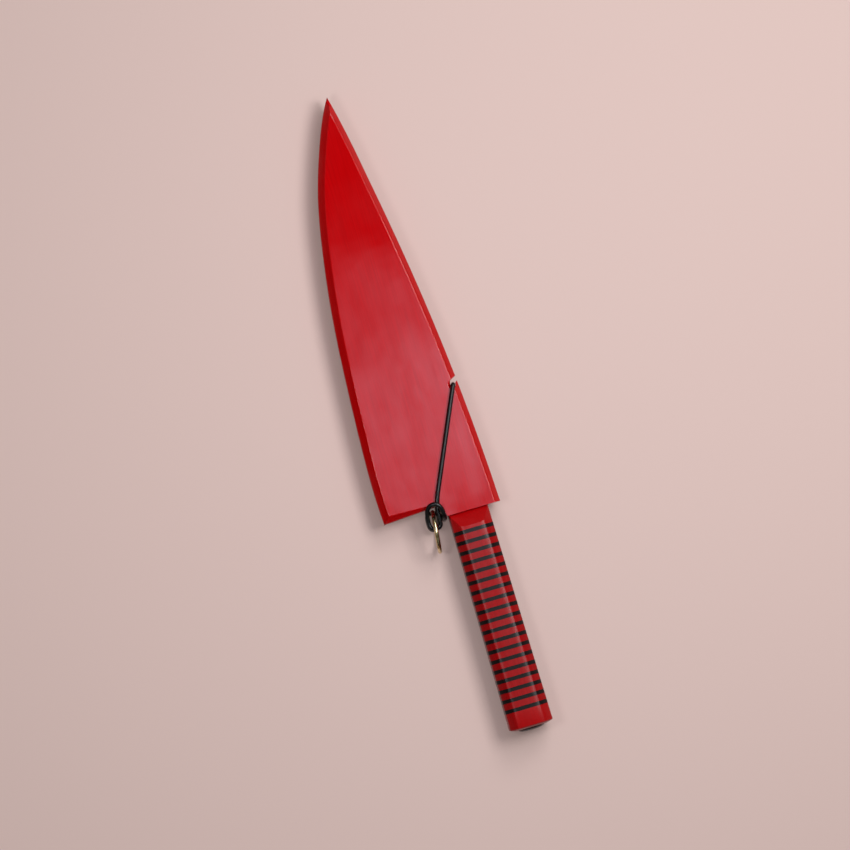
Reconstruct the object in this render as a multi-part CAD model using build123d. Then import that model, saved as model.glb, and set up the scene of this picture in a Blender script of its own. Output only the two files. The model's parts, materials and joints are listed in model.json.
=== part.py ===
from build123d import *
from math import radians, sin, tan
import os

os.makedirs("parts", exist_ok=True)

# A kitchen knife in its wooden blade guard, lying flat. Sizes are in millimetres.
# X runs across the blade from the cutting edge to the spine, Y from the butt to the tip,
# and Z up out of the front face. The pieces are drawn about the middle of the handle's
# front end, where it meets the guard. At the end they move together, so that the origin
# lies under the middle of the footprint, on the surface that the knife lies on.

# Guard: two hollowed halves glued face to face
guard_length = 231.5
guard_thickness = 15.0
guard_spine_reach = 17.75
guard_edge_reach = 45.4
guard_tip_reach = 10.0
guard_edge_bevel = 3.7
guard_spine_bevel = 2.9
heel_corner_reach = 44.7
heel_corner_setback = 4.8
step_low_reach = 11.5
step_high_reach = 13.4
step_setback = 6.5
heel_bevel_at_step = 1.2

# Points of the long sides: how far out from the tip's line, and how far along
guard_spine_shares = [(0.846, 0.309), (0.664, 0.516), (0.296, 0.816), (0.065, 0.967)]
guard_edge_shares = [
    (1.000, 0.097),
    (0.983, 0.211),
    (0.924, 0.380),
    (0.847, 0.520),
    (0.722, 0.658),
    (0.539, 0.793),
    (0.311, 0.898),
    (0.094, 0.975),
]

# Hooked notch in the spine side, where the elastic loop catches. Its slot leaves the
# round seat upwards and out past the hook, in shares of the seat's radius.
notch_reach = 11.0
notch_place = 66.0
notch_ease = 1.1
notch_slot_shares = [(-1.0, 0.0), (-0.6, 1.7), (5.0, 4.6), (5.0, 2.6), (1.8, 1.1), (1.0, 0.5), (1.0, 0.0)]

# Blade, ground flat from the spine to the cutting edge, with a tang through the handle
blade_length = 216.0
blade_spine_reach = 8.6
blade_edge_reach = 40.2
blade_tip_reach = 11.5
blade_thickness = 2.2
blade_tip_thickness = 0.8
cutting_edge_thickness = 0.3
heel_place = 7.4
choil_reach = 9.0
choil_radius = 3.0
tang_width = 10.0
stud_radius = 2.5

# Stations of the blade from the second on: how far along, and how far out from the tip's
# line the cutting edge and the spine are
heel_edge_share = 0.972
blade_station_shares = [
    (0.139, 1.000, 0.990),
    (0.347, 0.955, 0.940),
    (0.556, 0.829, 0.781),
    (0.741, 0.610, 0.483),
    (0.880, 0.362, 0.224),
    (0.963, 0.153, 0.080),
    (1.000, 0.025, 0.015),
]

# Room round the blade in the hollow of the guard, across it and through its thickness
hollow_room = 0.8
hollow_depth_room = 0.3

# Handle: slices stacked on the tang, eight-sided and wider towards the butt
handle_front_width = 21.6
handle_butt_width = 23.4
handle_front_height = 20.6
handle_butt_height = 23.0
handle_corner = 4.65
handle_corner_ease = 0.5
front_block_length = 9.65
front_block_nose_height = 11.0
front_block_slope = 8.0
black_ring_count = 19
black_ring_thickness = 2.1
red_ring_thickness = 3.32
end_block_length = 10.0
butt_dome = 1.0
butt_flat_inset = 3.6
tang_room = 0.1

# Pommel nut that clamps the stack on the stud of the tang
nut_radius = 7.2
nut_rim = 0.7
nut_shoulder = 0.9
nut_crown = 0.4
nut_shoulder_radius = 5.4
nut_crown_radius = 2.6
nut_seat_depth = 0.4
nut_shank_radius = 4.2
nut_shank_length = 5.0
nut_room = 0.1
stud_end_room = 0.4

# Brass ring that stands in the hitch of the elastic, with its foot on the surface
ring_outer_diameter = 23.6
ring_wire = 2.2
ring_sides = 10
ring_top_reach = 18.15
ring_top_place = 4.3
ring_turn = 5.7
ring_lean = 2.0

# Elastic cord, one endless loop, and the room between it and what it lies against
cord_diameter = 2.4
cord_sides = 8
cord_room = 0.3
notch_bend = 2.6
run_share = 0.45
measure_step = 0.3
measure_skip = 9.0

# How far a cutting shape runs past what it cuts
overrun = 5.0

guard_half = guard_thickness / 2
seat_radius = cord_diameter / 2 + cord_room
stack_length = black_ring_count * black_ring_thickness + (black_ring_count - 1) * red_ring_thickness
handle_length = front_block_length + stack_length + end_block_length
tang_length = front_block_length + stack_length
nut_seat = handle_length - nut_seat_depth
nut_end = nut_seat + nut_rim + nut_shoulder + nut_crown
surface_height = -handle_butt_height / 2

# Route of the cord's middle, from the notch down the front, round the ring's wire, over
# its own front strand and down beside the step to the middle of the bridge
front_route = [
    (11.0, 66.0, 0.0),
    (11.0, 66.0, 9.1),
    (-15.1, 8.6, 9.1),
    (-16.0, -0.2, 8.1),
    (-16.2, -4.8, 7.4),
    (-22.0, -4.8, 7.2),
    (-22.2, 1.2, 7.7),
    (-21.0, 6.6, 10.4),
    (-17.2, 8.3, 12.0),
    (-13.6, 6.0, 12.0),
    (-13.0, -0.8, 9.4),
    (-13.0, -0.8, 0.0),
]

# The same on the rear, where the hitch keeps clear of the surface below
rear_route = [
    (11.0, 66.0, 0.0),
    (11.0, 66.0, -9.1),
    (-14.9, 7.1, -9.1),
    (-15.4, 2.2, -6.4),
    (-16.3, -4.8, -6.1),
    (-21.6, -4.8, -6.1),
    (-21.8, 0.4, -6.7),
    (-21.1, 4.0, -8.9),
    (-17.5, 4.2, -10.15),
    (-14.4, 2.2, -10.25),
    (-13.0, -1.2, -8.4),
    (-13.0, -0.8, 0.0),
]


# A plane across the knife at a place along it, with its own Y upwards
def across(place):
    return Plane(origin=(0, place, 0), x_dir=(1, 0, 0), z_dir=(0, -1, 0))


# A plane along the knife at a reach to one side, with its own X towards the tip
def lengthways(reach):
    return Plane(origin=(reach, 0, 0), x_dir=(0, 1, 0), z_dir=(1, 0, 0))


# Both long sides of the guard curve to the tip, and the mouth steps back over the heel
def guard_outline():
    tip = (-guard_tip_reach, guard_length)
    spine_span = guard_spine_reach + guard_tip_reach
    edge_span = guard_edge_reach - guard_tip_reach
    spine_points = [(out * spine_span - guard_tip_reach, along * guard_length) for out, along in guard_spine_shares]
    edge_points = [(-out * edge_span - guard_tip_reach, along * guard_length) for out, along in guard_edge_shares]
    spine_corner = (guard_spine_reach, 0)
    heel_corner = (-heel_corner_reach, heel_corner_setback)
    mouth = Polyline(heel_corner, (-step_high_reach, step_setback), (-step_low_reach, 0), spine_corner)
    spine_side = Spline(spine_corner, *spine_points, tip)
    edge_side = Spline(heel_corner, *edge_points, tip)
    return make_face(mouth.edges() + spine_side.edges() + edge_side.edges())


# Points of the blade's two sides at its stations, with room added all round
def blade_sides(room):
    edge_span = blade_edge_reach - blade_tip_reach
    spine_span = blade_spine_reach + blade_tip_reach
    edge_points = [
        (-blade_tip_reach - edge_out * edge_span - room, along * blade_length)
        for along, edge_out, spine_out in blade_station_shares
    ]
    spine_points = [
        (spine_out * spine_span - blade_tip_reach + room, along * blade_length)
        for along, edge_out, spine_out in blade_station_shares
    ]
    return edge_points, spine_points


# The hollow follows the blade with room, and runs straight out at the mouth as wide as
# the widest part of the blade, so that the blade can be drawn
def hollow():
    edge_points, spine_points = blade_sides(hollow_room)
    spine_mouth = (blade_spine_reach + hollow_room, -overrun)
    tip = (-blade_tip_reach, blade_length + 2 * hollow_room)
    edge_mouth = (edge_points[0][0], -overrun)
    edge_side = Spline(*edge_points, tip)
    spine_side = Spline((spine_mouth[0], heel_place), *spine_points, tip)
    mouth = Polyline(edge_points[0], edge_mouth, spine_mouth, (spine_mouth[0], heel_place))
    outline = make_face(mouth.edges() + spine_side.edges() + edge_side.edges())
    return extrude(outline, blade_thickness / 2 + hollow_depth_room)


# Bevel along the mouth over the heel, wide at the heel corner and narrow at the step
def heel_bevel_cutter():
    ends = [
        (heel_corner_reach + overrun, heel_corner_setback, guard_edge_bevel),
        (step_high_reach, step_setback, heel_bevel_at_step),
    ]
    sections = []
    for reach, setback, width in ends:
        low = (setback - overrun, guard_half - width - overrun)
        high = (setback + width + overrun, guard_half + overrun)
        triangle = Polyline(low, high, (low[0], high[1]), close=True)
        sections.append(lengthways(-reach) * make_face(triangle.edges()))
    return loft(sections)


# The notch is cut right through, and its rim is eased where the cord bends over it
def notch_cutter():
    slot = Polyline(*[(out * seat_radius, up * seat_radius) for out, up in notch_slot_shares], close=True)
    through = extrude(Circle(seat_radius) + make_face(slot.edges()), guard_thickness)
    ease = Cone(seat_radius, seat_radius + notch_ease, notch_ease)
    seat = Pos(notch_reach, notch_place, 0)
    return seat * Pos(0, 0, -overrun) * through + seat * Pos(0, 0, guard_half - notch_ease / 2) * ease


def guard_front_half():
    half = extrude(guard_outline(), guard_half)
    for side, bevel in ((-1, guard_spine_bevel), (0, guard_edge_bevel)):
        long_rims = half.faces().sort_by(Axis.Z)[-1].edges().filter_by(GeomType.BSPLINE)
        half = chamfer(long_rims.sort_by(Axis.X)[side], bevel)
    return half - heel_bevel_cutter() - hollow() - notch_cutter()


# One wedge-shaped section of the blade, from its cutting edge to its spine
def blade_section(place, edge, spine, thickness):
    thin = cutting_edge_thickness / 2
    thick = thickness / 2
    wedge = Polyline((edge, thin), (spine, thick), (spine, -thick), (edge, -thin), close=True)
    return across(place) * make_face(wedge.edges())


# The ground blade, its neck in front of the handle, the tang and the round stud
def blade():
    edge_points, spine_points = blade_sides(0)
    heel = blade_tip_reach + heel_edge_share * (blade_edge_reach - blade_tip_reach)
    sections = [blade_section(heel_place, -heel, blade_spine_reach, blade_thickness)]
    for edge_point, spine_point in zip(edge_points, spine_points):
        along = edge_point[1] / blade_length
        thickness = blade_thickness + (blade_tip_thickness - blade_thickness) * along
        sections.append(blade_section(edge_point[1], edge_point[0], spine_point[0], thickness))
    ground = loft(sections)
    root = heel_place + choil_radius
    choil = Polyline(
        (blade_spine_reach, 0),
        (blade_spine_reach, root),
        (-choil_reach - choil_radius, root),
        (-choil_reach - choil_radius, heel_place),
        (-choil_reach, heel_place),
        (-choil_reach, 0),
        close=True,
    )
    neck_face = make_face(choil.edges())
    corner = neck_face.vertices().sort_by_distance((-choil_reach, heel_place))[0]
    neck = extrude(fillet(corner, choil_radius), blade_thickness / 2, both=True)
    heel_section = blade_section(0, -heel, blade_spine_reach, blade_thickness)
    wedge = extrude(heel_section, root + overrun, dir=(0, 1, 0))
    tang = Pos(0, -tang_length / 2, 0) * Box(tang_width, tang_length, blade_thickness)
    stud_length = nut_seat - stud_end_room - tang_length
    stud = across(-tang_length) * Cylinder(stud_radius, stud_length, align=(Align.CENTER, Align.CENTER, Align.MIN))
    return ground + (neck & wedge) + tang + stud


# Eight-sided section of the handle at a place, with eased corners
def handle_section(place):
    along = place / handle_length
    width = handle_front_width + (handle_butt_width - handle_front_width) * along
    height = handle_front_height + (handle_butt_height - handle_front_height) * along
    octagon = chamfer(Rectangle(width, height).vertices(), handle_corner)
    return across(-place) * chamfer(octagon.vertices(), handle_corner_ease)


def handle_slice(start, end):
    return loft([handle_section(start), handle_section(end)], ruled=True)


def tang_slot(start, end):
    length = end - start
    slot = Box(tang_width + 2 * tang_room, length + 2 * overrun, blade_thickness + 2 * tang_room)
    return Pos(0, -start - length / 2, 0) * slot


# The front block slopes down to the blade above and below
def front_block():
    nose = front_block_nose_height / 2
    rise = (handle_front_height / 2 - nose) / front_block_slope
    far = front_block_slope + overrun
    wedge = Polyline(
        (overrun, nose - rise * overrun),
        (-far, nose + rise * far),
        (overrun, nose + rise * far),
        close=True,
    )
    cutter = extrude(lengthways(0) * make_face(wedge.edges()), handle_front_width, both=True)
    block = handle_slice(0, front_block_length)
    return block - cutter - mirror(cutter, Plane.XY) - tang_slot(0, front_block_length)


def stack_ring(start, thickness):
    return handle_slice(start, start + thickness) - tang_slot(start, start + thickness)


# The butt slopes back all round from a flat, which has a seat and a bore for the nut
def end_block():
    rim = handle_section(handle_length - butt_dome)
    flat = offset(rim, -butt_flat_inset, kind=Kind.INTERSECTION)
    crown = loft([rim, Pos(0, -butt_dome, 0) * flat], ruled=True)
    inward = (Align.CENTER, Align.CENTER, Align.MAX)
    seat = across(-handle_length) * Cylinder(nut_radius + nut_room, nut_seat_depth, align=inward)
    bore = across(-nut_seat) * Cylinder(nut_shank_radius + nut_room, nut_shank_length + nut_room, align=inward)
    stud_bore = across(-nut_seat) * Cylinder(stud_radius + tang_room, end_block_length, align=inward)
    return handle_slice(tang_length, handle_length - butt_dome) + crown - seat - bore - stud_bore


# A turned nut with a low crown, on a shank that is bored for the stud
def pommel_nut():
    bore = stud_radius + tang_room
    shoulder = nut_rim + nut_shoulder
    crown = shoulder + nut_crown
    profile = Polyline(
        (0, 0),
        (bore, 0),
        (bore, -nut_shank_length),
        (nut_shank_radius, -nut_shank_length),
        (nut_shank_radius, 0),
        (nut_radius, 0),
        (nut_radius, nut_rim),
        (nut_shoulder_radius, shoulder),
        (nut_crown_radius, crown),
        (0, crown),
        close=True,
    )
    stands = Plane(origin=(0, -nut_seat, 0), x_dir=(1, 0, 0), z_dir=(0, 0, -1))
    return revolve(stands * make_face(profile.edges()), Axis((0, 0, 0), (0, 1, 0)))


def brass_ring():
    wire_radius = ring_wire / 2
    centre_radius = ring_outer_diameter / 2 - wire_radius
    section = Pos(0, centre_radius, 0) * RegularPolygon(wire_radius, ring_sides)
    ring = revolve(section, Axis.X)
    top = Pos(-ring_top_reach, ring_top_place, surface_height + ring_outer_diameter / 2)
    return top * Rot(0, -ring_lean, -ring_turn) * Pos(0, -centre_radius, 0) * ring


# Straight runs joined by tangent arcs. Each arc is as large as its two runs allow, apart
# from the first, which is the bend over the rim of the notch.
def route_wire(points, name):
    corners = [Vector(*point) for point in points]
    edges = []
    last = corners[0]
    radii = []
    for before, corner, after in zip(corners, corners[1:], corners[2:]):
        back = (before - corner).normalized()
        onward = (after - corner).normalized()
        half_angle = radians(back.get_angle(onward)) / 2
        shorter = min((before - corner).length, (after - corner).length)
        radius = notch_bend if corner == corners[1] else run_share * shorter * tan(half_angle)
        trim = radius / tan(half_angle)
        inward = (back + onward).normalized()
        centre = corner + inward * (radius / sin(half_angle))
        start = corner + back * trim
        end = corner + onward * trim
        edges.append(Edge.make_line(last, start))
        edges.append(Edge.make_three_point_arc(start, centre - inward * radius, end))
        radii.append(round(radius, 1))
        last = end
    edges.append(Edge.make_line(last, corners[-1]))
    print(name, "radii", radii)
    return Wire(edges)


def cord_half(section, wire):
    return sweep(Plane(origin=wire @ 0, z_dir=wire % 0) * section, path=wire)


# The endless loop, front half and rear half joined at the notch and at the bridge
def elastic_loop():
    front = route_wire(front_route, "front")
    rear = route_wire(rear_route, "rear")
    section = RegularPolygon(cord_diameter / 2, cord_sides)
    loop = cord_half(section, front) + cord_half(section, rear)
    length = front.length + rear.length
    print("elastic length", round(length, 1), "volume share", round(loop.volume / section.area / length, 4))
    print("elastic least gap to itself", round(least_gap(front, rear), 2))
    return loop


# Least gap between parts of the loop that are not next to each other along it
def least_gap(front, rear):
    total = front.length + rear.length
    marks = []
    for index in range(int(total / measure_step)):
        travelled = index * measure_step
        if travelled < front.length:
            marks.append((travelled, front.position_at(travelled / front.length)))
        else:
            marks.append((travelled, rear.position_at((total - travelled) / rear.length)))
    least = total
    for index, (travelled, point) in enumerate(marks):
        for other_travelled, other in marks[index + 1 :]:
            apart = other_travelled - travelled
            if min(apart, total - apart) > measure_skip:
                least = min(least, (point - other).length)
    return least - cord_diameter


def all_pieces():
    front = guard_front_half()
    pieces = {
        "guard_front_half": front,
        "guard_rear_half": mirror(front, Plane.XY),
        "blade": blade(),
        "handle_front_block": front_block(),
        "handle_end_block": end_block(),
        "pommel_nut": pommel_nut(),
        "brass_ring": brass_ring(),
        "elastic_loop": elastic_loop(),
    }
    place = front_block_length
    for index in range(1, black_ring_count + 1):
        pieces[f"black_ring_{index:02d}"] = stack_ring(place, black_ring_thickness)
        place += black_ring_thickness
        if index < black_ring_count:
            pieces[f"red_ring_{index:02d}"] = stack_ring(place, red_ring_thickness)
            place += red_ring_thickness
    return pieces


footprint_middle = (
    (guard_spine_reach - guard_edge_reach) / 2,
    (guard_length - nut_end) / 2,
)
to_origin = Pos(-footprint_middle[0], -footprint_middle[1], -surface_height)

for name, piece in all_pieces().items():
    export_step(to_origin * piece, f"parts/{name}.step")
print("origin is at", footprint_middle, surface_height, "from the handle's front end")
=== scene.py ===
import bmesh
import bpy
import json
import math
from mathutils import Matrix, Vector

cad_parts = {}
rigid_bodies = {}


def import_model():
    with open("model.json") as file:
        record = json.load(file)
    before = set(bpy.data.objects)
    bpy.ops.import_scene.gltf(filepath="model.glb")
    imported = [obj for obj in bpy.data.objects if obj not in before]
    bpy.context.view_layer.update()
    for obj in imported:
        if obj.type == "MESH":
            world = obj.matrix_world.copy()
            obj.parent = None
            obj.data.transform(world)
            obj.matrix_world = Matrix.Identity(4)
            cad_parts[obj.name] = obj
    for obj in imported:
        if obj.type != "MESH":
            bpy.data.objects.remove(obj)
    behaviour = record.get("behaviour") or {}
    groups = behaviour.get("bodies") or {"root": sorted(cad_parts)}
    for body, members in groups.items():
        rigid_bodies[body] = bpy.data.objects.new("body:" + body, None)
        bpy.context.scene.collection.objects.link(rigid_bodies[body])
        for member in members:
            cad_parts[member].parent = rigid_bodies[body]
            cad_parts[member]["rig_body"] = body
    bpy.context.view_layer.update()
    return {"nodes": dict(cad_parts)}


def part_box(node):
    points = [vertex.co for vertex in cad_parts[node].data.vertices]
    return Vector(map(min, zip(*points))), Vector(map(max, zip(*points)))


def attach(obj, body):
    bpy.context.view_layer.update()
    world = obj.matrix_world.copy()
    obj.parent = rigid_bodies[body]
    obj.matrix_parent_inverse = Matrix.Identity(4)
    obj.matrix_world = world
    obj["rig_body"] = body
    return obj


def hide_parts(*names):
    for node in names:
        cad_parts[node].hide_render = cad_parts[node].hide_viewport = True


# A red wooden blade guard on a kitchen knife, with the striped handle outside it and an
# elastic cord, hitched round a brass ring, that holds the two together. It lies on a
# pale floor and is seen from above.
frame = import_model()

# Guard: two halves of close-grained wood such as magnolia, hollowed for the blade, glued
# face to face, bevelled, and stained and lacquered red. The lacquer is glossy: it shows
# the grain as fine streaks and catches a soft, uneven sheen.
MM = 0.001
guard_arris = 0.35 * MM
arris_segments = 3
lacquer_red = "B60206"
lacquer_shade = "AC0105"
lacquer_light = "BF0308"
guard_roughness = 0.12
guard_gloss = 0.38
pore_width = 0.7 * MM
pore_length = 30 * MM
pore_depth = 0.012 * MM
wave_length = 25 * MM
wave_depth = 0.2 * MM
haze_width = 12 * MM
haze_length = 30 * MM
# A noise's values lie mostly between these two
noise_low, noise_high = 0.3, 0.7


def linear(hex_colour):
    channels = [int(hex_colour[i : i + 2], 16) / 255 for i in (0, 2, 4)]
    return [c / 12.92 if c <= 0.04045 else ((c + 0.055) / 1.055) ** 2.4 for c in channels] + [1]


def new_material(name):
    material = bpy.data.materials.new(name)
    material.use_nodes = True
    return material, material.node_tree.nodes["Principled BSDF"]


def add(material, kind, settings, **inputs):
    """Adds a node. An input is a value, or another node's output socket.

    An input named _0 or _1 is found by its number, because its name is not unique."""
    node = material.node_tree.nodes.new(kind)
    for name, value in settings.items():
        setattr(node, name, value)
    for name, value in inputs.items():
        key = int(name[1:]) if name[1:].isdigit() else name.replace("_", " ")
        socket = node.inputs[key]
        if isinstance(value, bpy.types.NodeSocket):
            material.node_tree.links.new(value, socket)
        else:
            socket.default_value = value
    return node


def link(material, output, socket):
    material.node_tree.links.new(output, socket)


def spread(material, node, stops):
    """Sets the stops of a colour ramp: places and sRGB colours."""
    ramp = node.color_ramp
    while len(ramp.elements) < len(stops):
        ramp.elements.new(0.5)
    for element, (place, colour) in zip(ramp.elements, stops):
        element.position = place
        element.color = linear(colour)
    return node


def lacquered_wood(name, dark, middle, light, roughness, gloss_level):
    """Stained wood under lacquer. The grain runs along the knife. Its pores are drawn wider
    than real ones, so that they show as streaks, and a hand-planed surface waves a little.
    Handling has rubbed the gloss unevenly, so that the sheen comes in soft clouds."""
    material, shader = new_material(name)
    place = add(material, "ShaderNodeTexCoord", {}).outputs["Object"]
    along = add(
        material, "ShaderNodeMapping", {}, Vector=place,
        Scale=(1 / pore_width, 1 / pore_length, 1 / pore_width),
    )
    grain = add(
        material, "ShaderNodeTexNoise", {}, Vector=along.outputs[0],
        Scale=1.0, Detail=4.0, Roughness=0.6,
    )
    colour = add(material, "ShaderNodeValToRGB", {}, Fac=grain.outputs["Fac"])
    spread(material, colour, [(0.25, dark), (0.5, middle), (0.75, light)])
    link(material, colour.outputs["Color"], shader.inputs["Base Color"])
    waves = add(
        material, "ShaderNodeTexNoise", {}, Vector=place,
        Scale=1 / wave_length, Detail=2.0, Roughness=0.5,
    )
    gloss = add(
        material, "ShaderNodeMapRange", {}, Value=waves.outputs["Fac"],
        From_Min=noise_low, From_Max=noise_high,
        To_Min=roughness - 0.02, To_Max=roughness + 0.03,
    )
    link(material, gloss.outputs[0], shader.inputs["Roughness"])
    planed = add(
        material, "ShaderNodeBump", {}, Strength=1.0, Distance=wave_depth,
        Height=waves.outputs["Fac"],
    )
    pores = add(
        material, "ShaderNodeBump", {}, Strength=0.6, Distance=pore_depth,
        Height=grain.outputs["Fac"], Normal=planed.outputs[0],
    )
    link(material, pores.outputs[0], shader.inputs["Normal"])
    rubbed = add(
        material, "ShaderNodeMapping", {}, Vector=place,
        Scale=(1 / haze_width, 1 / haze_length, 1 / haze_width),
    )
    clouds = add(
        material, "ShaderNodeTexNoise", {}, Vector=rubbed.outputs[0],
        Scale=1.0, Detail=4.0, Roughness=0.65,
    )
    haze = add(
        material, "ShaderNodeMapRange", {}, Value=clouds.outputs["Fac"],
        From_Min=noise_low, From_Max=noise_high,
        To_Min=gloss_level * 0.7, To_Max=gloss_level * 1.3,
    )
    link(material, haze.outputs[0], shader.inputs["Specular IOR Level"])
    return material


def eased_copy(node, name, width, chosen):
    """A copy of a piece with the chosen edges rounded, shaded smooth but for sharp edges."""
    mesh = frame["nodes"][node].data.copy()
    shape = bmesh.new()
    shape.from_mesh(mesh)
    bmesh.ops.remove_doubles(shape, verts=shape.verts, dist=0.002 * MM)
    bmesh.ops.dissolve_limit(
        shape, angle_limit=math.radians(0.5), verts=shape.verts, edges=shape.edges
    )
    edges = [e for e in shape.edges if len(e.link_faces) == 2 and chosen(e)]
    bmesh.ops.bevel(
        shape, geom=edges, offset=width, segments=arris_segments, profile=0.5,
        affect="EDGES", clamp_overlap=False,
    )
    shape.to_mesh(mesh)
    shape.free()
    mesh.name = name
    copy = bpy.data.objects.new(name, mesh)
    bpy.context.scene.collection.objects.link(copy)
    copy.data.shade_smooth()
    copy.data.set_sharp_from_angle(angle=math.radians(24))
    even = copy.modifiers.new("flat_faces_stay_flat", "WEIGHTED_NORMAL")
    even.keep_sharp = True
    even.weight = 100
    view = bpy.context.evaluated_depsgraph_get()
    shaded = bpy.data.meshes.new_from_object(
        copy.evaluated_get(view), preserve_all_data_layers=True, depsgraph=view
    )
    copy.modifiers.clear()
    copy.data = shaded
    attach(copy, frame["nodes"][node]["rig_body"])
    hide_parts(node)
    return copy


def paint(piece, material):
    piece.data.materials.clear()
    piece.data.materials.append(material)


def sharp(edge, degrees):
    return edge.calc_face_angle(0) > math.radians(degrees)


def along_bevel(edge):
    """The arrises on both sides of a half's bevels."""
    return sharp(edge, 30) and not sharp(edge, 60)


guard_wood = lacquered_wood(
    "red_lacquered_wood", lacquer_shade, lacquer_red, lacquer_light,
    guard_roughness, guard_gloss,
)
for half in ("front", "rear"):
    piece = eased_copy(
        f"guard_{half}_half", f"lacquered_{half}_half", guard_arris, along_bevel
    )
    paint(piece, guard_wood)

# Blade: forged stainless steel, ground across and satin polished. The fine lines that
# the belt leaves run from the spine to the cutting edge and stretch the highlights. They
# are drawn coarser than real ones, so that they show.
blade_grey = "C4C6C8"
line_width = 0.25 * MM
line_length = 12 * MM
line_depth = 0.01 * MM
satin_steel, shader = new_material("satin_ground_steel")
shader.inputs["Base Color"].default_value = linear(blade_grey)
shader.inputs["Metallic"].default_value = 1.0
place = add(satin_steel, "ShaderNodeTexCoord", {}).outputs["Object"]
across = add(
    satin_steel, "ShaderNodeMapping", {}, Vector=place,
    Scale=(1 / line_length, 1 / line_width, 1 / line_length),
)
lines = add(
    satin_steel, "ShaderNodeTexNoise", {}, Vector=across.outputs[0], Scale=1.0, Detail=3.0
)
gloss = add(
    satin_steel, "ShaderNodeMapRange", {}, Value=lines.outputs["Fac"],
    From_Min=noise_low, From_Max=noise_high, To_Min=0.22, To_Max=0.38,
)
link(satin_steel, gloss.outputs[0], shader.inputs["Roughness"])
ground = add(
    satin_steel, "ShaderNodeBump", {}, Strength=0.5, Distance=line_depth,
    Height=lines.outputs["Fac"],
)
link(satin_steel, ground.outputs[0], shader.inputs["Normal"])
paint(frame["nodes"]["blade"], satin_steel)

# Handle blocks: red-dyed hardwood at both ends of the handle, cut eight-sided, rubbed
# round at the arrises and worn in further on the top and bottom flats. The front one
# slopes down to the blade, and the butt one has a low crown with the nut's seat.
block_red = "A30205"
block_shade = "990104"
block_light = "AC0307"
handle_roughness = 0.32
handle_gloss = 0.22
facet_inset = 4.65 * MM
arris_trim = 0.9 * MM
face_easing = 3.7 * MM
arris_steps = 8
slot_reach = 5.1 * MM
slot_depth = 1.2 * MM
block_slope = 8.0 * MM
nose_height = 5.5 * MM
brink_round = 0.5 * MM
seat_radius = 7.3 * MM
seat_depth = 0.4 * MM
seat_sides = 48
# Rings of the crown, in mm: how far in from the butt's end, and how far in from its sides
crown_rings = [(1.45, 0), (1.12, 0.08), (0.92, 0.3), (0.72, 0.7), (0.4, 1.7), (0.0, 3.6)]
level = 0.01 * MM

# The middle of the handle's front end, where it meets the guard's mouth
block_low, block_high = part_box("handle_front_block")
mouth = Vector((
    (block_low.x + block_high.x) / 2, block_high.y, (block_low.z + block_high.z) / 2
))


def half_size(node, place):
    """Half the width and half the height of a CAD slice at one of its ends."""
    rim = [v.co for v in frame["nodes"][node].data.vertices if abs(v.co.y - place) < level]
    return max(abs(p.x - mouth.x) for p in rim), max(abs(p.z - mouth.z) for p in rim)


stack_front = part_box("black_ring_01")[1].y
stack_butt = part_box("black_ring_19")[0].y
butt_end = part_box("handle_end_block")[0].y
front_size = half_size("black_ring_01", stack_front)
butt_size = half_size("black_ring_19", stack_butt)


def eased_from(corner, neighbour):
    """Where an arris starts to round. The top and bottom flats are worn further in."""
    reach = face_easing if corner.y == neighbour.y else arris_trim
    return corner + (neighbour - corner).normalized() * reach


def section(place, inset=0.0):
    """Points round the handle at a place: eight sides with rounded arrises."""
    share = (stack_front - place) / (stack_front - stack_butt)
    wide, high = (a + (b - a) * share - inset for a, b in zip(front_size, butt_size))
    cut = facet_inset - inset * (2 - math.sqrt(2))
    quarter = [(wide - cut, high), (wide, high - cut)]
    corners = []
    for x_sign, z_sign in ((1, 1), (1, -1), (-1, -1), (-1, 1)):
        turned_corner = [Vector((x_sign * x, z_sign * z)) for x, z in quarter]
        corners += turned_corner if x_sign == z_sign else turned_corner[::-1]
    points = []
    for i, corner in enumerate(corners):
        back = eased_from(corner, corners[i - 1])
        onward = eased_from(corner, corners[(i + 1) % 8])
        for step in range(arris_steps + 1):
            t = step / arris_steps
            point = back * (1 - t) ** 2 + corner * 2 * t * (1 - t) + onward * t * t
            points.append((mouth.x + point.x, place, mouth.z + point.y))
    return points


def ring_of(shape, points):
    verts = [shape.verts.new(p) for p in points]
    edges = [shape.edges.new((verts[i - 1], verts[i])) for i in range(len(verts))]
    return verts, edges


def join(shape, first, second):
    for i in range(len(first)):
        shape.faces.new((first[i - 1], first[i], second[i], second[i - 1]))


def slot_at(place):
    """The four corners of the tang's slot through a slice."""
    return [
        (mouth.x + x * slot_reach, place, mouth.z + z * slot_depth)
        for x, z in ((1, 1), (1, -1), (-1, -1), (-1, 1))
    ]


def handle_piece(node, rings, slotted, material, finish=None):
    """Lofts rings of points into a closed piece that replaces a CAD node of the knife."""
    shape = bmesh.new()
    loops = [ring_of(shape, points) for points in rings]
    for first, second in zip(loops, loops[1:]):
        join(shape, first[0], second[0])
    if slotted:
        inner = [ring_of(shape, slot_at(points[0][1])) for points in (rings[0], rings[-1])]
        join(shape, inner[1][0], inner[0][0])
        bmesh.ops.triangle_fill(shape, use_beauty=True, edges=loops[0][1] + inner[0][1])
        bmesh.ops.triangle_fill(shape, use_beauty=True, edges=loops[-1][1] + inner[1][1])
    if finish:
        finish(shape, loops)
    bmesh.ops.recalc_face_normals(shape, faces=shape.faces)
    mesh = bpy.data.meshes.new(f"polished_{node}")
    shape.to_mesh(mesh)
    shape.free()
    mesh.shade_smooth()
    mesh.set_sharp_from_angle(angle=math.radians(20))
    piece = bpy.data.objects.new(f"polished_{node}", mesh)
    bpy.context.scene.collection.objects.link(piece)
    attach(piece, "knife")
    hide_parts(node)
    paint(piece, material)


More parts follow.
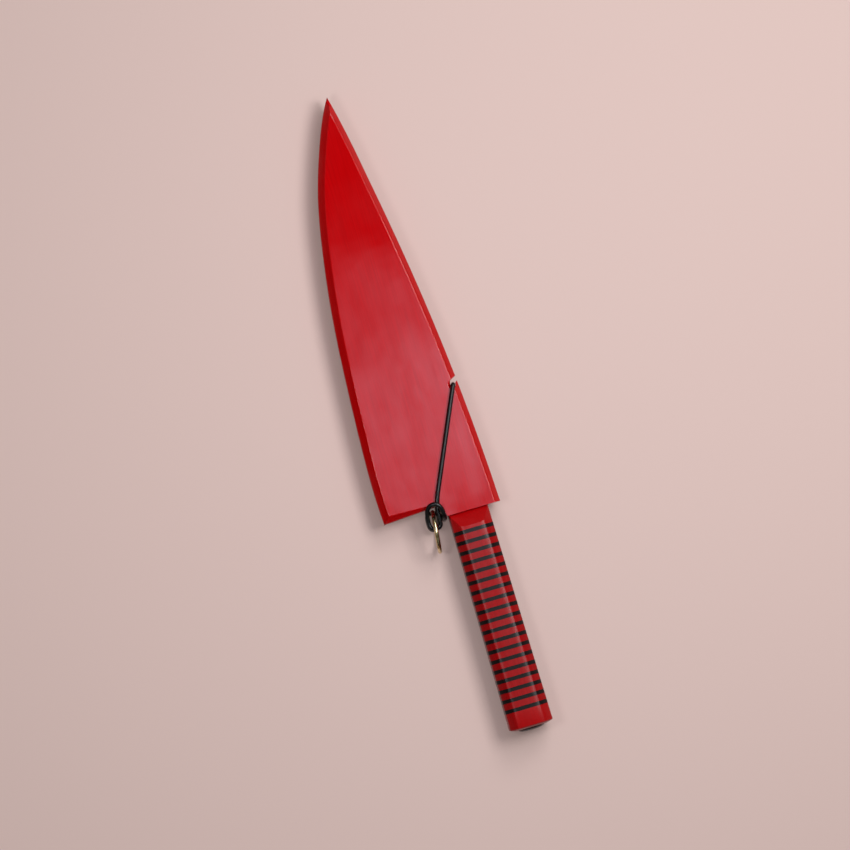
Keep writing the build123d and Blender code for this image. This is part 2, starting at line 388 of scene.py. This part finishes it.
def on_brink(edge):
    """The edges across the front block where its slopes start and end."""
    first, second = (vert.co for vert in edge.verts)
    if len(edge.link_faces) != 2 or abs(first.y - second.y) >= level or not sharp(edge, 15):
        return False
    return first.y > stack_front + 0.2 * MM and abs(first.z - mouth.z) > 2 * MM


def slope_off(shape, loops):
    """Cuts the front block's two slopes, which leave a nose at the blade."""
    rise = front_size[1] - nose_height
    for sign in (1, -1):
        normal = Vector((0, rise, sign * block_slope))
        edge = Vector((mouth.x, mouth.y, mouth.z + sign * nose_height))
        everything = shape.verts[:] + shape.edges[:] + shape.faces[:]
        cut = bmesh.ops.bisect_plane(
            shape, geom=everything, plane_co=edge, plane_no=normal, clear_outer=True,
            dist=0.0001 * MM,
        )
        rim = [e for e in cut["geom_cut"] if isinstance(e, bmesh.types.BMEdge)]
        bmesh.ops.contextual_create(shape, geom=rim)
    bmesh.ops.remove_doubles(shape, verts=shape.verts, dist=0.001 * MM)
    brink = [e for e in shape.edges if on_brink(e)]
    bmesh.ops.bevel(
        shape, geom=brink, offset=brink_round, segments=3, profile=0.5, affect="EDGES",
        clamp_overlap=True,
    )


def seat_nut(shape, loops):
    """Closes the crown round the nut's seat."""
    angles = [2 * math.pi * i / seat_sides for i in range(seat_sides)]
    rounds = []
    for place in (butt_end, butt_end + seat_depth):
        circle = [
            (mouth.x + seat_radius * math.cos(a), place, mouth.z + seat_radius * math.sin(a))
            for a in angles
        ]
        rounds.append(ring_of(shape, circle))
    join(shape, rounds[0][0], rounds[1][0])
    shape.faces.new(rounds[1][0])
    bmesh.ops.triangle_fill(shape, use_beauty=True, edges=loops[-1][1] + rounds[0][1])
    shape.faces.new(loops[0][0])


block_wood = lacquered_wood(
    "red_dyed_block_wood", block_shade, block_red, block_light,
    handle_roughness, handle_gloss,
)
handle_piece(
    "handle_front_block", [section(mouth.y), section(stack_front)], True,
    block_wood, slope_off,
)
crown = [section(butt_end + place * MM, inset * MM) for place, inset in crown_rings]
handle_piece(
    "handle_end_block", [section(stack_butt)] + crown, False,
    block_wood, seat_nut,
)

# Slices: red-dyed hardwood and thin black fibre spacers, stacked on the tang, glued, and
# ground and polished together, so that only the colour changes at a joint. The fibre's
# fleck is drawn coarser than the real one and just breaks the black's gloss.
slice_red = "970307"
slice_shade = "8C0206"
slice_light = "A00409"
spacer_black = "0E0D0D"
fleck = 0.6 * MM
slice_wood = lacquered_wood(
    "red_dyed_slice_wood", slice_shade, slice_red, slice_light,
    handle_roughness, handle_gloss,
)
spacer, shader = new_material("black_fibre_spacer")
shader.inputs["Base Color"].default_value = linear(spacer_black)
place = add(spacer, "ShaderNodeTexCoord", {}).outputs["Object"]
fibre = add(spacer, "ShaderNodeTexNoise", {}, Vector=place, Scale=1 / fleck, Detail=3.0)
gloss = add(
    spacer, "ShaderNodeMapRange", {}, Value=fibre.outputs["Fac"],
    From_Min=noise_low, From_Max=noise_high, To_Min=0.29, To_Max=0.36,
)
link(spacer, gloss.outputs[0], shader.inputs["Roughness"])
shader.inputs["Specular IOR Level"].default_value = 0.26
for node in sorted(frame["nodes"]):
    if node.startswith(("red_ring", "black_ring")):
        low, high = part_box(node)
        red = node.startswith("red")
        handle_piece(
            node, [section(high.y), section(low.y)], True,
            slice_wood if red else spacer,
        )

# Pommel nut: turned from steel and blackened, with a low polished crown that stands out
# of the butt. It screws onto the tang's stud and clamps the stack. The blacking clouds a
# little, so that its dark gloss is uneven.
nut_black = "2A2624"
nut_stand = 2.0 * MM
nut_turns = 72
bloom_size = 2.5 * MM
nut_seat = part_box("pommel_nut")[0].y + nut_stand
# The turned outline, in mm: radius, and how far it goes from the nut's seat into the butt
nut_profile = [(2.6, 5.0), (4.2, 5.0), (4.2, 0), (7.0, 0), (7.2, -0.15), (7.2, -0.6)]
nut_profile += [(6.9, -0.95), (6.2, -1.32), (5.2, -1.66), (3.9, -1.86), (2.4, -1.96)]
nut_profile += [(1.0, -2.0), (0, -2.0)]
turned = bmesh.new()
rim = [
    turned.verts.new((mouth.x + radius * MM, nut_seat + back * MM, mouth.z))
    for radius, back in nut_profile
]
outline = [turned.edges.new(pair) for pair in zip(rim, rim[1:])]
bmesh.ops.spin(
    turned, geom=rim + outline, cent=(mouth.x, nut_seat, mouth.z), axis=(0, 1, 0),
    angle=2 * math.pi, steps=nut_turns, use_merge=True,
)
bmesh.ops.remove_doubles(turned, verts=turned.verts, dist=0.001 * MM)
bmesh.ops.recalc_face_normals(turned, faces=turned.faces)
mesh = bpy.data.meshes.new("blackened_nut")
turned.to_mesh(mesh)
turned.free()
mesh.shade_smooth()
mesh.set_sharp_from_angle(angle=math.radians(40))
nut = bpy.data.objects.new("blackened_nut", mesh)
bpy.context.scene.collection.objects.link(nut)
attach(nut, "knife")
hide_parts("pommel_nut")
blackened, shader = new_material("blackened_steel")
shader.inputs["Base Color"].default_value = linear(nut_black)
shader.inputs["Metallic"].default_value = 0.8
place = add(blackened, "ShaderNodeTexCoord", {}).outputs["Object"]
bloom = add(
    blackened, "ShaderNodeTexNoise", {}, Vector=place, Scale=1 / bloom_size, Detail=3.0
)
gloss = add(
    blackened, "ShaderNodeMapRange", {}, Value=bloom.outputs["Fac"],
    From_Min=noise_low, From_Max=noise_high, To_Min=0.26, To_Max=0.40,
)
link(blackened, gloss.outputs[0], shader.inputs["Roughness"])
paint(nut, blackened)

# Brass ring: round wire, closed and polished, worn to a slightly brown tarnish in
# places, which is also duller. It stands in the hitch of the elastic, where fingers
# pull it.
wire = 1.1 * MM
bend = 10.7 * MM
wire_sides = 20
ring_sides = 96
ring_turn = math.radians(-5.7)
ring_lean = math.radians(-2)
brass_brown = "978150"
brass_clean = "E2D3A8"
tarnish_size = 3 * MM
tarnished_below, clean_above = 0.35, 0.6
ring_low, ring_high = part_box("brass_ring")
ring_centre = (ring_low + ring_high) / 2
hoop = bmesh.new()
wire_round = [
    hoop.verts.new((wire * math.cos(a), bend + wire * math.sin(a), 0))
    for a in (2 * math.pi * i / wire_sides for i in range(wire_sides))
]
loop = [hoop.edges.new((wire_round[i - 1], wire_round[i])) for i in range(wire_sides)]
bmesh.ops.spin(
    hoop, geom=wire_round + loop, cent=(0, 0, 0), axis=(1, 0, 0), angle=2 * math.pi,
    steps=ring_sides, use_merge=True,
)
bmesh.ops.remove_doubles(hoop, verts=hoop.verts, dist=0.001 * MM)
bmesh.ops.recalc_face_normals(hoop, faces=hoop.faces)
leaning = Matrix.Rotation(ring_lean, 4, "Y") @ Matrix.Rotation(ring_turn, 4, "Z")
stands = Matrix.Translation(ring_centre) @ leaning
bmesh.ops.transform(hoop, matrix=stands, verts=hoop.verts)
mesh = bpy.data.meshes.new("polished_ring")
hoop.to_mesh(mesh)
hoop.free()
mesh.shade_smooth()
ring = bpy.data.objects.new("polished_ring", mesh)
bpy.context.scene.collection.objects.link(ring)
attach(ring, "ring")
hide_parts("brass_ring")
brass, shader = new_material("polished_brass")
shader.inputs["Metallic"].default_value = 1.0
place = add(brass, "ShaderNodeTexCoord", {}).outputs["Object"]
tarnish = add(
    brass, "ShaderNodeTexNoise", {}, Vector=place, Scale=1 / tarnish_size, Detail=3.0
)
colour = add(brass, "ShaderNodeValToRGB", {}, Fac=tarnish.outputs["Fac"])
spread(brass, colour, [(tarnished_below, brass_brown), (clean_above, brass_clean)])
link(brass, colour.outputs["Color"], shader.inputs["Base Color"])
gloss = add(
    brass, "ShaderNodeMapRange", {}, Value=tarnish.outputs["Fac"],
    From_Min=tarnished_below, From_Max=clean_above, To_Min=0.28, To_Max=0.14,
)
link(brass, gloss.outputs[0], shader.inputs["Roughness"])
paint(ring, brass)

# Elastic: one endless black rubber cord with a smooth woven cover. It is pulled tight
# from the hooked notch to a lark's head hitch round the ring's wire. The weave breaks
# its gloss into fine points.
cord_radius = 1.2 * MM
cord_black = "050506"
thread_spacing = 0.35 * MM
thread_height = 0.02 * MM
# Guide points of the cord's line, in mm from the middle of the guard's mouth
cord_route = [
    (11.0, 66.0, 0.0),
    (11.0, 66.0, 6.4),
    (11.0, 66.0, 9.1),
    (9.7, 63.1, 9.1),
    (5.2, 53.3, 9.1),
    (-10.4, 18.9, 9.1),
    (-15.1, 8.6, 9.1),
    (-16.0, -0.2, 8.1),
    (-16.2, -4.8, 7.4),
    (-22.0, -4.8, 7.2),
    (-22.2, 1.2, 7.7),
    (-21.0, 6.6, 10.4),
    (-17.2, 8.3, 12.0),
    (-13.6, 6.0, 12.0),
    (-13.0, -0.8, 9.4),
    (-13.0, -0.8, 0.0),
    (-13.0, -1.2, -8.4),
    (-14.4, 2.2, -10.25),
    (-17.5, 4.2, -10.15),
    (-21.1, 4.0, -8.9),
    (-21.8, 0.4, -6.7),
    (-21.6, -4.8, -6.1),
    (-16.3, -4.8, -6.1),
    (-15.4, 2.2, -6.4),
    (-14.9, 7.1, -9.1),
    (-10.4, 17.3, -9.1),
    (5.2, 53.2, -9.1),
    (9.7, 63.0, -9.1),
    (11.0, 66.0, -9.1),
    (11.0, 66.0, -6.4),
]
cord_line = bpy.data.curves.new("elastic_line", "CURVE")
cord_line.dimensions = "3D"
spline = cord_line.splines.new("NURBS")
spline.points.add(len(cord_route) - 1)
for point, place in zip(spline.points, cord_route):
    point.co = (*(mouth + Vector(place) * MM), 1)
spline.order_u = 3
spline.use_cyclic_u = True
spline.resolution_u = 12
cord_line.bevel_depth = cord_radius
cord_line.bevel_resolution = 8
cord_line.use_fill_caps = False
drawn = bpy.data.objects.new("elastic_line", cord_line)
bpy.context.scene.collection.objects.link(drawn)
bpy.context.view_layer.update()
mesh = bpy.data.meshes.new_from_object(drawn)
bpy.data.objects.remove(drawn)
mesh.name = "woven_elastic"
mesh.shade_smooth()
elastic = bpy.data.objects.new("woven_elastic", mesh)
bpy.context.scene.collection.objects.link(elastic)
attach(elastic, "loop")
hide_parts("elastic_loop")
rubber, shader = new_material("black_elastic_cord")
shader.inputs["Base Color"].default_value = linear(cord_black)
place = add(rubber, "ShaderNodeTexCoord", {}).outputs["Object"]
weave = add(
    rubber, "ShaderNodeTexNoise", {}, Vector=place, Scale=1 / thread_spacing, Detail=2.0
)
gloss = add(
    rubber, "ShaderNodeMapRange", {}, Value=weave.outputs["Fac"],
    From_Min=noise_low, From_Max=noise_high, To_Min=0.24, To_Max=0.34,
)
link(rubber, gloss.outputs[0], shader.inputs["Roughness"])
threads = add(
    rubber, "ShaderNodeBump", {}, Strength=0.4, Distance=thread_height,
    Height=weave.outputs["Fac"],
)
link(rubber, threads.outputs[0], shader.inputs["Normal"])
shader.inputs["Specular IOR Level"].default_value = 0.4
paint(elastic, rubber)

# Floor: a plain sheet of matt pale pink paper. Its own colour takes the light and the
# shadow, and a faint glow, seen straight, in gloss and through glass, lifts it to the
# photograph's pink without lighting the object.
floor_pink = "DDC2BB"
floor_base = "C2ABA5"
floor_glow = 0.2
floor_reach = 2.5
mesh = bpy.data.meshes.new("floor")
mesh.from_pydata(
    [(x * floor_reach, y * floor_reach, 0) for x, y in ((-1, -1), (1, -1), (1, 1), (-1, 1))],
    [], [(0, 1, 2, 3)],
)
floor = bpy.data.objects.new("floor", mesh)
bpy.context.scene.collection.objects.link(floor)
paper, shader = new_material("matt_pink_paper")
shader.inputs["Base Color"].default_value = linear(floor_base)
shader.inputs["Emission Color"].default_value = linear(floor_pink)
seen = add(paper, "ShaderNodeLightPath", {}).outputs
direct = add(
    paper, "ShaderNodeMath", {"operation": "MAXIMUM"},
    _0=seen["Is Camera Ray"], _1=seen["Is Glossy Ray"],
)
through = add(
    paper, "ShaderNodeMath", {"operation": "MAXIMUM"},
    _0=direct.outputs[0], _1=seen["Is Transmission Ray"],
)
glow = add(
    paper, "ShaderNodeMapRange", {}, Value=through.outputs[0], To_Max=floor_glow
)
link(paper, glow.outputs[0], shader.inputs["Emission Strength"])
shader.inputs["Roughness"].default_value = 0.9
shader.inputs["Specular IOR Level"].default_value = 0.2
floor.data.materials.append(paper)

# Light: a key box and a window at the right, a weak fill at the left, three small boxes
# overhead that give the sheen on the guard's face, and an even grey room that is dark at
# the horizon and straight above.
cool = (1, 0.93, 1.15)
room_strength = 0.2
# Greys from the floor's side of the room up to straight above
room_greys = [
    (0.0, "202020"), (0.3, "606060"), (0.5, "FFFFFF"),
    (0.84, "FFFFFF"), (0.94, "202020"), (1.0, "080808"),
]


def soft_box(name, place, size, power, aim=(0, 0, 0), colour=(1, 1, 1)):
    lamp = bpy.data.lights.new(name, "AREA")
    lamp.shape = "SQUARE"
    lamp.size = size
    lamp.energy = power
    lamp.color = colour
    holder = bpy.data.objects.new(name, lamp)
    bpy.context.scene.collection.objects.link(holder)
    holder.location = place
    holder.rotation_euler = (holder.location - Vector(aim)).to_track_quat("Z", "Y").to_euler()


def overhead(name, x, y, height, size, power):
    """A small cool box that looks straight down."""
    soft_box(name, (x, y, height), size, power, (x, y, 0), cool)


soft_box("key", place=(0.47, 0.07, 0.95), size=0.38, power=5.35)
soft_box("window", place=(0.42, 0.5, 0.82), size=0.45, power=3.6)
soft_box("fill", place=(-0.3, -0.011, 0.86), size=0.18, power=1.3)
overhead("sheen", x=0.02, y=0.039, height=0.45, size=0.17, power=0.076)
overhead("near_sheen", x=0.02, y=0.008, height=0.44, size=0.10, power=0.038)
overhead("right_sheen", x=0.085, y=0.04, height=0.43, size=0.11, power=0.04)
world = bpy.data.worlds.new("even_grey")
world.use_nodes = True
room = world.node_tree.nodes["Background"]
around = add(world, "ShaderNodeTexCoord", {}).outputs["Generated"]
upward = add(world, "ShaderNodeSeparateXYZ", {}, Vector=around)
walls = add(world, "ShaderNodeValToRGB", {}, Fac=upward.outputs["Z"])
spread(world, walls, room_greys)
link(world, walls.outputs["Color"], room.inputs["Color"])
room.inputs["Strength"].default_value = room_strength
bpy.context.scene.world = world

# Camera: a long lens above the guard, leaning a little towards the butt and the cutting
# edge, and turned so that the knife lies slanted, as in the photograph.
lens = 199.6
sensor = 36
distance = 2.5
lean_butt = math.radians(2.5)
lean_edge = math.radians(2.9)
picture_turn = math.radians(16.4)
picture_up = Vector((math.sin(picture_turn), math.cos(picture_turn), 0))
picture_middle = mouth + Vector((-8.93, 49.81, 0)) * MM
toward_camera = Vector((-math.tan(lean_edge), -math.tan(lean_butt), 1)).normalized()
camera_data = bpy.data.cameras.new("camera")
camera_data.lens = lens
camera_data.sensor_width = sensor
camera = bpy.data.objects.new("camera", camera_data)
bpy.context.scene.collection.objects.link(camera)
camera.location = picture_middle + toward_camera * distance
up_guide = picture_up - toward_camera * picture_up.dot(toward_camera)
right_guide = up_guide.cross(toward_camera).normalized()
camera.matrix_world = Matrix.Translation(camera.location) @ Matrix(
    (right_guide, up_guide.normalized(), toward_camera)
).transposed().to_4x4()
bpy.context.scene.camera = camera
bpy.context.scene.view_settings.view_transform = "Standard"
